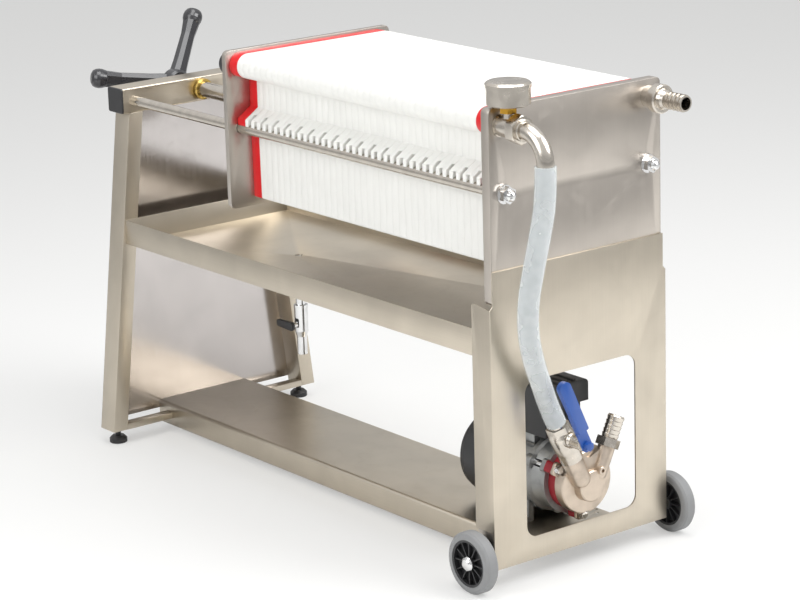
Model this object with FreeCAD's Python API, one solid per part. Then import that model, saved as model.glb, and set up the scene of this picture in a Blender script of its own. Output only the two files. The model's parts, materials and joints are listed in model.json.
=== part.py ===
"""Plate filter press on a wheeled stand: forty moulded plates clamped by a hand screw, with a pump.

Millimetres, +Z up, +X from the hand screw towards the pump end, origin on the floor under the middle.
"""
import FreeCAD, Part
import math
import os

os.makedirs("parts", exist_ok=True)
V = FreeCAD.Vector

# ---- driving dimensions ------------------------------------------------------------------------
FIT = 0.3                       # gap left between curved faces of separate pieces
FACE_X = 532.0                  # front face of the stand's sheet
SHEET = 3.0                     # stand sheet thickness
TONGUE_TOP, STEP_Z, STAND_BOTTOM = 511.5, 458.0, 33.0
TONGUE_HALF, STAND_HALF = 176.5, 182.0
FLANGE_DEPTH, FLANGE_BOTTOM = 42.0, 94.0
WINDOW_HALF, WINDOW_LOW, WINDOW_HIGH, WINDOW_R = 115.0, 71.0, 326.0, 20.0

HEAD_T, HEAD_HALF, HEAD_TOP = 18.0, 175.0, 763.0
ROD_Y, ROD_Z, ROD_R = 147.0, 628.5, 9.0
CHANNEL_Y, CHANNEL_Z = 150.0, 737.0

PLATE_COUNT, PLATE_PITCH, END_PLATE_T = 38, 16.4, 22.0
PLATE_TOP, PLATE_BOTTOM, BODY_HALF = 758.0, 505.0, 127.0
LOBE_HALF, LOBE_R = 166.0, 20.9
LUG_HALF, LUG_TOP, TOOTH_T = 154.0, 646.0, 9.0   # lugs hang on the rods by thinner teeth

PRESS_T, PRESS_HALF, PRESS_LOW, PRESS_HIGH = 10.0, 174.0, 491.0, 762.0

TUBE, TUBE_WALL, TUBE_HALF = 44.5, 2.0, 168.0
CROSS_X, CROSS_TOP = -488.0, 651.0      # front face and top of the square cross tube
LEG_T, LEG_WIDE, LEG_BOTTOM = 44.5, 29.0, 26.0
LEG_TOP_Y, LEG_FOOT_Y = 157.0, 226.0    # outer face of the leg at the top and at the foot
FOOT_Y, FOOT_R = 204.0, 16.0

TRAY_RIM, TRAY_DEPTH, TRAY_HALF, TRAY_T, TRAY_DISH = 415.0, 43.5, 178.5, 1.5, 3.0
SHELF_TOP, SHELF_HALF, SHELF_T, SHELF_DROP = 53.0, 98.5, 2.0, 42.0
SHELF_HOLES = [(FACE_X - 67.0, 88.0), (FACE_X - 54.0, 78.0)]
DRAIN_X, DRAIN_STEM_Z = -209.0, 245.0

SPINDLE_R, NUT_R = 14.0, 19.0
HUB_X, ARM_REACH, ARM_SET_BACK, ARM_ANGLE, KNOB_R = -573.0, 129.0, 53.0, 172.0, 18.0

WHEEL_R, WHEEL_RIM_R, WHEEL_W, WHEEL_OUT, AXLE_R = 50.0, 38.0, 24.0, 221.0, 6.0
WHEEL_X = FACE_X - 20.0

PUMP_Y, PUMP_Z, PUMP_FACE_X = 17.0, 131.0, FACE_X - 8.0
PORT_X, PORT_APEX_Z, PORT_ANGLE = FACE_X - 3.0, 104.0, 25.5
PUMP_BACK_X, RING_BACK_X = PUMP_FACE_X - 19.0, PUMP_FACE_X - 36.0
MOTOR_FACE_X, FAN_X = PUMP_FACE_X - 80.0, PUMP_FACE_X - 188.0
STUD_R, STUD_PITCH_R, STUD_ANGLES, EAR_T = 4.0, 57.0, (30, 150, 270), 6.0   # angles from +Y
VALVE_REACH, STEM_REACH, LEVER_X = 84.0, 128.0, FACE_X + 53.0

INLET_Y, INLET_Z = -151.0, 735.0
ELBOW_X, ELBOW_R, ELBOW_BEND, ELBOW_END = FACE_X + 98.0, 13.5, 45.0, 688.0
GAUGE_X = FACE_X + 16.0
HOSE_R = 17.0
HOSE_ROUTE = [
    (630.0, -151.0, 688.0), (630.0, -151.0, 640.0), (629.0, -161.0, 590.0), (623.0, -171.0, 535.0),
    (612.0, -174.0, 480.0), (599.0, -164.0, 425.0), (584.0, -140.0, 372.0), (560.0, -104.0, 322.0),
    (529.0, -65.7, 277.3), (529.0, -50.16, 244.8),
]


# ---- small tools -------------------------------------------------------------------------------
def at_x(x):
    return lambda p: V(x, p[0], p[1])


def at_y(y):
    return lambda p: V(p[0], y, p[1])


def at_z(z):
    return lambda p: V(p[0], p[1], z)


def box(x0, x1, y0, y1, z0, z1):
    return Part.makeBox(x1 - x0, y1 - y0, z1 - z0, V(x0, y0, z0))


def rod(start, end, r):
    return Part.makeCylinder(r, (end - start).Length, start, end - start)


def outline(place, corners):
    """Closed wire through corners (a, b) or (a, b, radius), on the plane that place() gives."""
    count = len(corners)
    flat = [V(c[0], c[1], 0) for c in corners]
    radii = [c[2] if len(c) > 2 else 0 for c in corners]
    starts, ends, mids = [], [], []
    for i in range(count):
        to_last = (flat[i - 1] - flat[i]).normalize()
        to_next = (flat[(i + 1) % count] - flat[i]).normalize()
        if radii[i]:
            half = to_last.getAngle(to_next) / 2
            reach = radii[i] / math.tan(half)
            inward = (to_last + to_next).normalize()
            starts.append(flat[i] + to_last * reach)
            ends.append(flat[i] + to_next * reach)
            mids.append(flat[i] + inward * (radii[i] / math.sin(half) - radii[i]))
        else:
            starts.append(flat[i])
            ends.append(flat[i])
            mids.append(None)
    edges = []
    for i in range(count):
        if mids[i]:
            edges.append(Part.Arc(*[place((p.x, p.y)) for p in (starts[i], mids[i], ends[i])]).toShape())
        after = starts[(i + 1) % count]
        if ends[i].distanceToPoint(after) > 1e-4:
            leave, arrive = place((ends[i].x, ends[i].y)), place((after.x, after.y))
            edges.append(Part.LineSegment(leave, arrive).toShape())
    return Part.Wire(edges)


def slab(place, corners, along):
    return Part.Face(outline(place, corners)).extrude(along)


def turned(origin, axis, steps, bore=0.0):
    """Solid of revolution: steps are (distance along the axis, radius) pairs."""
    steps = list(steps)
    base = [(steps[0][0], bore)] + steps + [(steps[-1][0], bore)]
    points = [V(r, 0, d) for d, r in base]
    face = Part.Face(Part.makePolygon(points + [points[0]]))
    shape = face.revolve(V(0, 0, 0), V(0, 0, 1), 360)
    shape.Placement = FreeCAD.Placement(origin, FreeCAD.Rotation(V(0, 0, 1), axis))
    return shape


def hexagon(origin, axis, across_flats, thick, bore=0.0, turn=0.0):
    r = across_flats / math.sqrt(3)
    points = [V(r * math.cos(math.radians(60 * k + turn)), r * math.sin(math.radians(60 * k + turn)), 0)
              for k in range(7)]
    shape = Part.Face(Part.makePolygon(points)).extrude(V(0, 0, thick))
    if bore:
        shape = shape.cut(Part.makeCylinder(bore, thick, V(0, 0, 0)))
    shape.Placement = FreeCAD.Placement(origin, FreeCAD.Rotation(V(0, 0, 1), axis))
    return shape


def pipe(path, r, along):
    """Solid round bar along a path that starts in the direction along."""
    start = path.Edges[0].Vertexes[0].Point
    return path.makePipe(Part.Face(Part.Wire([Part.makeCircle(r, start, along)])))


def both_sides(shape):
    """The shape and its mirror image across the machine's middle, as solids that don't touch."""
    return Part.makeCompound([shape, shape.mirror(V(0, 0, 0), V(0, 1, 0))])


def save(name, shape):
    shape.exportStep("parts/" + name + ".step")
    whole.append(shape)


whole = []


# ---- stand and head ----------------------------------------------------------------------------
def front_stand():
    sheet = slab(at_x(FACE_X - SHEET), [
        (-STAND_HALF, STAND_BOTTOM), (STAND_HALF, STAND_BOTTOM), (STAND_HALF, STEP_Z - 6),
        (TONGUE_HALF, STEP_Z), (TONGUE_HALF, TONGUE_TOP), (-TONGUE_HALF, TONGUE_TOP),
        (-TONGUE_HALF, STEP_Z), (-STAND_HALF, STEP_Z - 6)], V(SHEET, 0, 0))
    window = slab(at_x(FACE_X - 2 * SHEET), [
        (-WINDOW_HALF, WINDOW_LOW, WINDOW_R), (WINDOW_HALF, WINDOW_LOW, WINDOW_R),
        (WINDOW_HALF, WINDOW_HIGH, WINDOW_R), (-WINDOW_HALF, WINDOW_HIGH, WINDOW_R)], V(3 * SHEET, 0, 0))
    back = FACE_X - SHEET - FLANGE_DEPTH
    flange = slab(at_y(-STAND_HALF), [
        (back, FLANGE_BOTTOM), (FACE_X - SHEET, FLANGE_BOTTOM), (FACE_X - SHEET, STEP_Z - 6),
        (back, STEP_Z, 6)], V(0, SHEET, 0))
    return sheet.cut(window).fuse([flange, flange.mirror(V(0, 0, 0), V(0, 1, 0))]).removeSplitter()


def head_plate():
    back = FACE_X - SHEET - HEAD_T
    plate = slab(at_x(back), [
        (-HEAD_HALF, STEP_Z, 6), (HEAD_HALF, STEP_Z, 6), (HEAD_HALF, HEAD_TOP, 9),
        (-HEAD_HALF, HEAD_TOP, 9)], V(HEAD_T, 0, 0))
    for side in (-1, 1):
        plate = plate.cut(rod(V(back - 1, side * ROD_Y, ROD_Z), V(FACE_X, side * ROD_Y, ROD_Z), ROD_R + FIT))
    return plate


def tie_rods():
    start, end = V(CROSS_X, -ROD_Y, ROD_Z), V(FACE_X - SHEET, -ROD_Y, ROD_Z)
    return both_sides(rod(start, end, ROD_R))


def dome_nuts():
    seat = V(FACE_X - SHEET, -ROD_Y, ROD_Z)
    along = V(1, 0, 0)
    nut = turned(seat, along, [(0, 15), (2.5, 15)])
    nut = nut.fuse(hexagon(seat + V(2.5, 0, 0), along, 24, 11))
    dome = turned(seat + V(13.5, 0, 0), along, [(0, 9.5), (4, 9), (8, 6.5), (10, 3)])
    return both_sides(nut.fuse(dome))


# ---- A-frame at the hand-screw end -------------------------------------------------------------
def leg():
    """Left leg: flat tube that leans out towards the foot, closed at its foot."""
    top = CROSS_TOP - TUBE
    slope = (LEG_FOOT_Y - LEG_TOP_Y) / (top - LEG_BOTTOM)
    outer = [(-LEG_FOOT_Y, LEG_BOTTOM), (-LEG_FOOT_Y + LEG_WIDE, LEG_BOTTOM),
             (-LEG_TOP_Y + LEG_WIDE, top), (-LEG_TOP_Y, top)]
    low = LEG_BOTTOM + 4
    inner_foot = -LEG_FOOT_Y + slope * 4 + TUBE_WALL
    inner = [(inner_foot, low), (inner_foot + LEG_WIDE - 2 * TUBE_WALL, low),
             (-LEG_TOP_Y + LEG_WIDE - TUBE_WALL, top), (-LEG_TOP_Y + TUBE_WALL, top)]
    tube = slab(at_x(CROSS_X - LEG_T), outer, V(LEG_T, 0, 0))
    return tube.cut(slab(at_x(CROSS_X - LEG_T + TUBE_WALL), inner, V(LEG_T - 2 * TUBE_WALL, 0, 0)))


def leg_inner_y(z):
    """Inner face of the left leg at height z."""
    share = (z - LEG_BOTTOM) / (CROSS_TOP - TUBE - LEG_BOTTOM)
    return -(LEG_FOOT_Y + share * (LEG_TOP_Y - LEG_FOOT_Y)) + LEG_WIDE


def cross_tube():
    low = CROSS_TOP - TUBE
    tube = box(CROSS_X - TUBE, CROSS_X, -TUBE_HALF, TUBE_HALF, low, CROSS_TOP)
    tube = tube.makeFillet(2.5, [e for e in tube.Edges if abs(e.tangentAt(e.FirstParameter).y) > 0.9])
    tube = tube.cut(box(CROSS_X - TUBE + TUBE_WALL, CROSS_X - TUBE_WALL, -TUBE_HALF, TUBE_HALF,
                        low + TUBE_WALL, CROSS_TOP - TUBE_WALL))
    return tube.cut(rod(V(CROSS_X - TUBE - 1, 0, ROD_Z), V(CROSS_X + 1, 0, ROD_Z), SPINDLE_R + 2))


def cross_tube_caps():
    low = CROSS_TOP - TUBE
    face = slab(at_y(-TUBE_HALF - 4), [
        (CROSS_X - TUBE, low, 4), (CROSS_X, low, 4), (CROSS_X, CROSS_TOP, 4),
        (CROSS_X - TUBE, CROSS_TOP, 4)], V(0, 4, 0))
    face = face.makeFillet(2, [e for e in face.Edges if abs(e.CenterOfMass.y + TUBE_HALF + 4) < 0.01])
    wall = TUBE_WALL + FIT
    plug = box(CROSS_X - TUBE + wall, CROSS_X - wall, -TUBE_HALF, -TUBE_HALF + 14,
               low + wall, CROSS_TOP - wall)
    return both_sides(face.fuse(plug))


def back_panel():
    low, high = 38.0, CROSS_TOP - TUBE
    return slab(at_x(CROSS_X - LEG_T), [(leg_inner_y(low), low), (-leg_inner_y(low), low),
                          (-leg_inner_y(high), high), (leg_inner_y(high), high)], V(2, 0, 0))


def lower_cross_bars():
    """Two flat bars from the legs to the shelf's flanges."""
    z0, z1 = LEG_BOTTOM, LEG_BOTTOM + 11
    bar = slab(at_x(CROSS_X - 20), [(leg_inner_y(z0), z0), (-SHELF_HALF, z0), (-SHELF_HALF, z1),
                                    (leg_inner_y(z1), z1)], V(20, 0, 0))
    return both_sides(bar)


def levelling_feet():
    x = CROSS_X - LEG_T / 2
    foot = turned(V(x, -FOOT_Y, 0), V(0, 0, 1),
                  [(0, FOOT_R - 1), (1, FOOT_R), (8, FOOT_R), (13, 11), (13, 5), (LEG_BOTTOM, 5)])
    return both_sides(foot)


# ---- tray and shelf ----------------------------------------------------------------------------
def dish(x0, x1, half, z):
    """Shallow pyramid that hangs from a rectangle at height z, with its point at the drain."""
    corners = [V(x0, -half, z), V(x1, -half, z), V(x1, half, z), V(x0, half, z)]
    point = V(DRAIN_X, 0, z - TRAY_DISH)
    faces = [Part.Face(Part.makePolygon(corners + [corners[0]]))]
    for a, b in zip(corners, corners[1:] + corners[:1]):
        faces.append(Part.Face(Part.makePolygon([a, b, point, a])))
    return Part.makeSolid(Part.makeShell(faces))


def tray():
    x0, x1 = CROSS_X, FACE_X - SHEET
    low, t = TRAY_RIM - TRAY_DEPTH, TRAY_T
    pan = box(x0, x1, -TRAY_HALF, TRAY_HALF, low, TRAY_RIM).fuse(dish(x0, x1, TRAY_HALF, low))
    room = box(x0 + t, x1 - t, -TRAY_HALF + t, TRAY_HALF - t, low + t, TRAY_RIM)
    pan = pan.cut(room.fuse(dish(x0 + t, x1 - t, TRAY_HALF - t, low + t)))
    return pan.cut(rod(V(DRAIN_X, 0, low - 5), V(DRAIN_X, 0, low + 5), 7)).removeSplitter()


def shelf():
    x0, x1 = CROSS_X - LEG_T + 2, FACE_X - SHEET
    low, t = SHELF_TOP - SHELF_DROP, SHELF_T
    along, half = V(x1 - x0, 0, 0), SHELF_HALF - t
    outer = slab(at_x(x0), [(-SHELF_HALF, low, 4), (-SHELF_HALF, SHELF_TOP, 6),
                            (SHELF_HALF, SHELF_TOP, 6), (SHELF_HALF, low, 4)], along)
    inner = slab(at_x(x0), [(-half, low + t, 2), (-half, SHELF_TOP - t, 4),
                            (half, SHELF_TOP - t, 4), (half, low + t, 2)], along)
    slot = box(x0, x1, -SHELF_HALF + 18, SHELF_HALF - 18, low, low + t)
    clear_of_wheels = box(FACE_X - 84, x1, -SHELF_HALF, SHELF_HALF, low, SHELF_TOP - 6)
    holes = [rod(V(x, y, SHELF_TOP - 2 * t), V(x, y, SHELF_TOP + t), 3.5) for x, y in SHELF_HOLES]
    return outer.cut(inner).cut([slot, clear_of_wheels] + holes)


# ---- plates ------------------------------------------------------------------------------------
def plate_solid(thick, tooth=0.0, gap_top=0.0):
    """One moulded plate: square body, a round channel lobe at each top corner and a lug on each rod.

    Below gap_top a lug narrows to a tooth, so that the teeth of a closed pack stand apart like a comb.
    """
    left = [(-LOBE_HALF, PLATE_TOP, LOBE_R), (-LOBE_HALF, PLATE_TOP - 42, LOBE_R),
            (-BODY_HALF, PLATE_TOP - 42, 6), (-BODY_HALF, LUG_TOP + 18), (-LUG_HALF, LUG_TOP),
            (-LUG_HALF, ROD_Z + 2), (-ROD_Y + 9, ROD_Z + 2), (-BODY_HALF, ROD_Z - 10),
            (-BODY_HALF + 1, PLATE_BOTTOM, 4)]
    right = [(-c[0],) + tuple(c[1:]) for c in reversed(left)]
    plate = slab(at_x(0), left + right, V(thick, 0, 0))
    for side in (-1, 1):
        plate = plate.cut(rod(V(-1, side * ROD_Y, ROD_Z), V(thick + 1, side * ROD_Y, ROD_Z), ROD_R + FIT))
        if tooth:
            near, far = sorted((side * (BODY_HALF + 7), side * (LUG_HALF + 1)))
            plate = plate.cut(box(tooth, thick + 1, near, far, ROD_Z, gap_top))
    return plate


def moved(shape, x):
    copy = shape.copy()
    copy.translate(V(x, 0, 0))
    return copy


def filter_plates(first):
    """Every other plate of the pack, counted from the head; the two kinds part their lugs at two heights."""
    start = FACE_X - SHEET - HEAD_T - END_PLATE_T
    one = plate_solid(PLATE_PITCH, TOOTH_T, LUG_TOP + 1 + 7 * first)
    places = [start - (k + 1) * PLATE_PITCH for k in range(first, PLATE_COUNT, 2)]
    return Part.makeCompound([moved(one, x) for x in places])


def end_plate(x):
    return moved(plate_solid(END_PLATE_T), x)


# ---- pressing gear -----------------------------------------------------------------------------
PACK_END = FACE_X - SHEET - HEAD_T - 2 * END_PLATE_T - PLATE_COUNT * PLATE_PITCH
PRESS_BACK = PACK_END - PRESS_T


def pressure_plate():
    plate = slab(at_x(PRESS_BACK), [
        (-PRESS_HALF, PRESS_LOW, 10), (PRESS_HALF, PRESS_LOW, 10), (PRESS_HALF, PRESS_HIGH, 10),
        (-PRESS_HALF, PRESS_HIGH, 10)], V(PRESS_T - FIT, 0, 0))
    for side in (-1, 1):
        hole = rod(V(PRESS_BACK - 1, side * ROD_Y, ROD_Z), V(PACK_END, side * ROD_Y, ROD_Z), ROD_R + 0.5)
        plate = plate.cut(hole)
    return plate


def thrust_cup():
    """Round cup on the pressure plate that takes the nose of the screw."""
    return turned(V(PRESS_BACK, 0, ROD_Z), V(-1, 0, 0), [(0, 26), (12, 26), (14, 24)], SPINDLE_R + 0.5)


def channel_plugs():
    plug = turned(V(PRESS_BACK, -CHANNEL_Y, CHANNEL_Z), V(-1, 0, 0), [(0, 19), (16, 19), (20, 16), (21, 12)])
    return both_sides(plug)


def spindle():
    nose = PRESS_BACK - 0.5
    return rod(V(nose, 0, ROD_Z), V(HUB_X - 15, 0, ROD_Z), SPINDLE_R)


def spindle_nut():
    steps = [(0, NUT_R), (7, NUT_R), (9, NUT_R - 2)]
    return turned(V(CROSS_X, 0, ROD_Z), V(1, 0, 0), steps, SPINDLE_R + FIT)


def handwheel_arm(angle):
    """Arm with eight long facets that swells into a round knob, leaning back from the hub."""
    out = V(0, math.cos(angle), math.sin(angle))
    start = V(HUB_X - 4, 0, ROD_Z) + out * 10
    end = V(HUB_X - ARM_SET_BACK, 0, ROD_Z) + out * ARM_REACH
    along = (end - start).normalize()
    length = (end - start).Length
    across = V(0, -math.sin(angle), math.cos(angle))
    thick = along.cross(across)
    rings = []
    for share, wide, deep in ((0, 15, 13), (0.25, 13, 12), (0.7, 12, 11), (0.92, 14.5, 13.5)):
        centre = start + along * length * share
        corners = [(wide, deep / 2), (wide / 2, deep), (-wide / 2, deep), (-wide, deep / 2),
                   (-wide, -deep / 2), (-wide / 2, -deep), (wide / 2, -deep), (wide, -deep / 2)]
        points = [centre + across * a + thick * b for a, b in corners]
        rings.append(Part.makePolygon(points + [points[0]]))
    swell = [(0, 11), (6, KNOB_R - 2.5), (12, KNOB_R - 0.6), (18, KNOB_R), (24, KNOB_R - 1),
             (29, KNOB_R - 3.5), (32, KNOB_R / 2)]
    knob = turned(start + along * (length - 16), along, swell)
    return Part.makeLoft(rings, True, True).fuse(knob)


def handwheel():
    hub = turned(V(HUB_X + 15, 0, ROD_Z), V(-1, 0, 0), [(0, 20), (4, 24), (24, 24), (34, 17), (38, 10)])
    arms = [handwheel_arm(math.radians(ARM_ANGLE + 120 * k)) for k in range(3)]
    bore = rod(V(HUB_X + 20, 0, ROD_Z), V(HUB_X - 15, 0, ROD_Z), SPINDLE_R + 0.1)
    return hub.fuse(arms).cut(bore)


# ---- wheels ------------------------------------------------------------------------------------
def tyre(side):
    out = V(0, side, 0)
    start = V(WHEEL_X, side * (WHEEL_OUT - WHEEL_W), WHEEL_R)
    return turned(start, out, [(0, 44), (1.5, 47.5), (5, WHEEL_R), (WHEEL_W - 5, WHEEL_R),
                               (WHEEL_W - 1.5, 47.5), (WHEEL_W, 44)], WHEEL_RIM_R)


def rim(side):
    out = V(0, side, 0)
    start = V(WHEEL_X, side * (WHEEL_OUT - WHEEL_W + 1), WHEEL_R)
    wide = WHEEL_W - 2
    ring = turned(start, out, [(0, WHEEL_RIM_R), (wide, WHEEL_RIM_R)], WHEEL_RIM_R - 4)
    web_r = WHEEL_RIM_R - 3
    web = turned(start + out * (wide / 2 - 2), out, [(0, web_r), (4, web_r)], AXLE_R + FIT)
    boss = turned(start, out, [(0, 11), (wide, 11)], AXLE_R + FIT)
    spokes = []
    for k in range(12):
        bar = box(WHEEL_X + 10, WHEEL_X + web_r, 0, wide - 4, WHEEL_R - 0.9, WHEEL_R + 0.9)
        bar.translate(V(0, min(side * (WHEEL_OUT - WHEEL_W + 3), side * (WHEEL_OUT - 3)), 0))
        bar.rotate(V(WHEEL_X, 0, WHEEL_R), V(0, 1, 0), 30 * k)
        spokes.append(bar)
    return ring.fuse([web, boss] + spokes)


def hub_cap(side):
    start = V(WHEEL_X, side * (WHEEL_OUT - 1), WHEEL_R)
    return turned(start, V(0, side, 0), [(0, 12), (1.5, 12), (4, 10.5), (6, 7.5), (7, 3)])


def axles():
    """Stub axles, each with a collar inside its bracket."""
    inner = STAND_HALF - 5
    return both_sides(turned(V(WHEEL_X, -inner, WHEEL_R), V(0, -1, 0), [(-7, 10), (0, 10), (0, AXLE_R),
                                                                       (WHEEL_OUT - 2 - inner, AXLE_R)]))


def axle_brackets():
    y0 = -STAND_HALF
    x0, x1, z0 = FACE_X - SHEET - 36, FACE_X - SHEET, 36
    plate = slab(at_y(y0), [(x0, z0, 14), (x1, z0), (x1, FLANGE_BOTTOM), (x0, FLANGE_BOTTOM)], V(0, 5, 0))
    hole = rod(V(WHEEL_X, y0 - 1, WHEEL_R), V(WHEEL_X, y0 + 6, WHEEL_R), AXLE_R + FIT)
    return both_sides(plate.cut(hole))


# ---- inlet, outlet and gauge -------------------------------------------------------------------
def inlet_socket():
    seat = V(FACE_X - SHEET, INLET_Y, INLET_Z)
    socket = turned(seat, V(1, 0, 0), [(0, 18), (3, 18), (3, 16.5), (33, 16.5)])
    neck = rod(V(GAUGE_X, INLET_Y, INLET_Z), V(GAUGE_X, INLET_Y, INLET_Z + 22), 9)
    return socket.fuse(neck)


def union_nut():
    seat = V(FACE_X + 30, INLET_Y, INLET_Z)
    nut = hexagon(seat, V(1, 0, 0), 41, 18)
    return nut.common(turned(seat, V(1, 0, 0), [(0, 21), (3, 24), (15, 24), (18, 21)]))


def elbow():
    start = V(FACE_X + 48, INLET_Y, INLET_Z)
    bend = V(ELBOW_X - ELBOW_BEND, INLET_Y, INLET_Z)
    down = V(ELBOW_X, INLET_Y, INLET_Z - ELBOW_BEND)
    turn = ELBOW_BEND * (1 - math.sqrt(0.5))
    mid = V(ELBOW_X - turn, INLET_Y, INLET_Z - turn)
    end = V(ELBOW_X, INLET_Y, ELBOW_END)
    path = Part.Wire([Part.LineSegment(start, bend).toShape(), Part.Arc(bend, mid, down).toShape(),
                      Part.LineSegment(down, end).toShape()])
    collar = turned(start, V(1, 0, 0), [(0, 17), (5, 17), (6, 16)])
    return pipe(path, ELBOW_R, V(1, 0, 0)).fuse(collar)


def gauge_nipple():
    base = V(GAUGE_X, INLET_Y, INLET_Z + 22)
    return hexagon(base, V(0, 0, 1), 24, 12, 0, 15)


def gauge():
    """Round can that stands on its back, with a wider bezel round the dial on top."""
    can, bezel = [(0, 31), (2, 34), (28, 34)], [(28, 35.5), (33, 35.5), (35.5, 33), (36.5, 31)]
    return turned(V(GAUGE_X, INLET_Y, INLET_Z + 34), V(0, 0, 1), can + bezel)


def barbs(start, count, pitch, low, high):
    """Profile steps of a hose tail: each barb rises along the tail and drops square."""
    steps = []
    for k in range(count):
        here = start + k * pitch
        steps += [(here, low), (here + 0.85 * pitch, high), (here + pitch, high)]
    return steps


def outlet_fitting():
    """Welded boss, union ring and barbed tail, with one bore right through."""
    seat = V(FACE_X - SHEET, CHANNEL_Y, INLET_Z)
    return turned(seat, V(1, 0, 0), [(0, 17.5), (14, 17.5), (14, 16), (17, 16), (17, 21), (19, 23), (32, 23),
                                     (34, 21), (34, 17), (40, 15)] + barbs(44, 4, 9, 12.6, 14)
                  + [(80, 12.8), (84, 12.5)], 10)


# ---- pump and motor ----------------------------------------------------------------------------
def port_point(side, reach, x=PORT_X):
    """Point on the axis of a pump port, reach mm up from where the two axes meet."""
    lean = math.radians(PORT_ANGLE)
    return V(x, PUMP_Y + side * reach * math.sin(lean), PORT_APEX_Z + reach * math.cos(lean))


def port_axis(side):
    return (port_point(side, 1) - port_point(side, 0)).normalize()


def stud_point(angle, x):
    lean = math.radians(angle)
    return V(x, PUMP_Y + STUD_PITCH_R * math.cos(lean), PUMP_Z + STUD_PITCH_R * math.sin(lean))


def ears(x0, x1, half_width):
    """Square-set lugs, one for each stud, that grow out of a round body between x0 and x1."""
    lugs = []
    for angle in STUD_ANGLES:
        out = (stud_point(angle, x0) - V(x0, PUMP_Y, PUMP_Z)).normalize()
        across = V(1, 0, 0).cross(out)
        place = lambda p: V(x0, PUMP_Y, PUMP_Z) + out * p[0] + across * p[1]
        corners = [(40, -half_width), (65, -half_width, 5), (65, half_width, 5), (40, half_width)]
        lugs.append(slab(place, corners, V(x1 - x0, 0, 0)))
    return lugs


def stud_rods(x0, x1, r):
    return [rod(stud_point(angle, x0), stud_point(angle, x1), r) for angle in STUD_ANGLES]


def pump_head():
    """Cast front cover: disc with lugs, thick centre boss, and two ports that spread upwards."""
    front, along = PUMP_FACE_X, V(1, 0, 0)
    disc = turned(V(PUMP_BACK_X, PUMP_Y, PUMP_Z), along, [(0, 51), (1, 52), (17, 52), (19, 50)])
    disc = disc.cut(stud_rods(PUMP_BACK_X + EAR_T, front + 1, 8.5))
    boss = turned(V(front - 2, PUMP_Y, PUMP_Z - 3), along, [(0, 30), (2, 27), (16, 26), (18, 24)])
    web = slab(at_x(PUMP_BACK_X + 3), [
        (PUMP_Y, PUMP_Z - 12), (PUMP_Y + 36, PUMP_Z + 34), (PUMP_Y + 27, PUMP_Z + 54),
        (PUMP_Y, PUMP_Z + 42, 8), (PUMP_Y - 24, PUMP_Z + 54), (PUMP_Y - 36, PUMP_Z + 34)], V(23, 0, 0))
    left = rod(port_point(-1, 44), port_point(-1, VALVE_REACH), 17)
    right = rod(port_point(1, 44), port_point(1, 88), 14)
    heels = [Part.makeSphere(17, port_point(-1, 44)), Part.makeSphere(14, port_point(1, 44))]
    plug_seat = turned(V(front, PUMP_Y + 16, PUMP_Z + 20), along, [(0, 8), (20, 7), (21, 6)])
    plug_hole = rod(V(front + 13, PUMP_Y + 16, PUMP_Z + 20), V(front + 22, PUMP_Y + 16, PUMP_Z + 20), 3)
    ear_front = PUMP_BACK_X + EAR_T
    head = disc.fuse([boss, web, left, right, plug_seat] + heels + ears(PUMP_BACK_X, ear_front, 11))
    return head.cut([plug_hole] + stud_rods(PUMP_BACK_X - 1, ear_front + 1, STUD_R + FIT))


def red_ring():
    ring = rod(V(RING_BACK_X, PUMP_Y, PUMP_Z), V(PUMP_BACK_X, PUMP_Y, PUMP_Z), 50)
    ring = ring.fuse(ears(RING_BACK_X, PUMP_BACK_X, 9))
    return ring.cut(stud_rods(RING_BACK_X - 1, PUMP_BACK_X + 1, STUD_R + FIT))


def pump_studs():
    """Long studs with washers and hexagon heads that clamp the pump to the motor's end shield."""
    studs = []
    for shank in stud_rods(MOTOR_FACE_X + 12, PUMP_BACK_X + EAR_T, STUD_R):
        centre = shank.BoundBox.Center
        seat = V(PUMP_BACK_X + EAR_T, centre.y, centre.z)
        washer = turned(seat, V(1, 0, 0), [(0, 8), (1.6, 8)])
        studs.append(shank.fuse([washer, hexagon(seat + V(1.6, 0, 0), V(1, 0, 0), 11, 6)]))
    return Part.makeCompound(studs)


def motor_flange():
    """Bell-shaped end shield: pads for the stud ends behind, and a lip with lugs that carries the pump."""
    lip = RING_BACK_X - 9
    bell = turned(V(MOTOR_FACE_X, PUMP_Y, PUMP_Z), V(1, 0, 0),
                  [(0, 64), (9, 64), (12, 59), (33, 55), (36, 59), (44, 59)])
    shield = bell.cut(stud_rods(MOTOR_FACE_X + 12, lip, STUD_R + 2))
    shield = shield.fuse(stud_rods(MOTOR_FACE_X, MOTOR_FACE_X + 12, 12) + ears(lip, RING_BACK_X, 11))
    return shield.cut(stud_rods(lip - 1, RING_BACK_X + 1, STUD_R + FIT))


def motor_housing():
    x0, x1 = FAN_X, MOTOR_FACE_X
    body = rod(V(x0, PUMP_Y, PUMP_Z), V(x1, PUMP_Y, PUMP_Z), 57)
    fins = []
    for k in range(24):
        fin = box(x0, x1, PUMP_Y - 1.2, PUMP_Y + 1.2, PUMP_Z + 50, PUMP_Z + 66)
        fin.rotate(V(0, PUMP_Y, PUMP_Z), V(1, 0, 0), 7.5 + 15 * k)
        fins.append(fin)
    top = box(x0 + 8, x1 - 4, PUMP_Y - 36, PUMP_Y + 36, PUMP_Z + 30, PUMP_Z + 70)
    feet = [box(x0 + 10, x1 - 6, PUMP_Y + s * 56 - 16, PUMP_Y + s * 56 + 16, SHELF_TOP, SHELF_TOP + 9)
            for s in (-1, 1)]
    legs = [box(x0 + 10, x1 - 6, PUMP_Y + s * 44 - 5, PUMP_Y + s * 44 + 5, SHELF_TOP, PUMP_Z - 30)
            for s in (-1, 1)]
    return body.fuse(fins + [top] + feet + legs)


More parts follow.
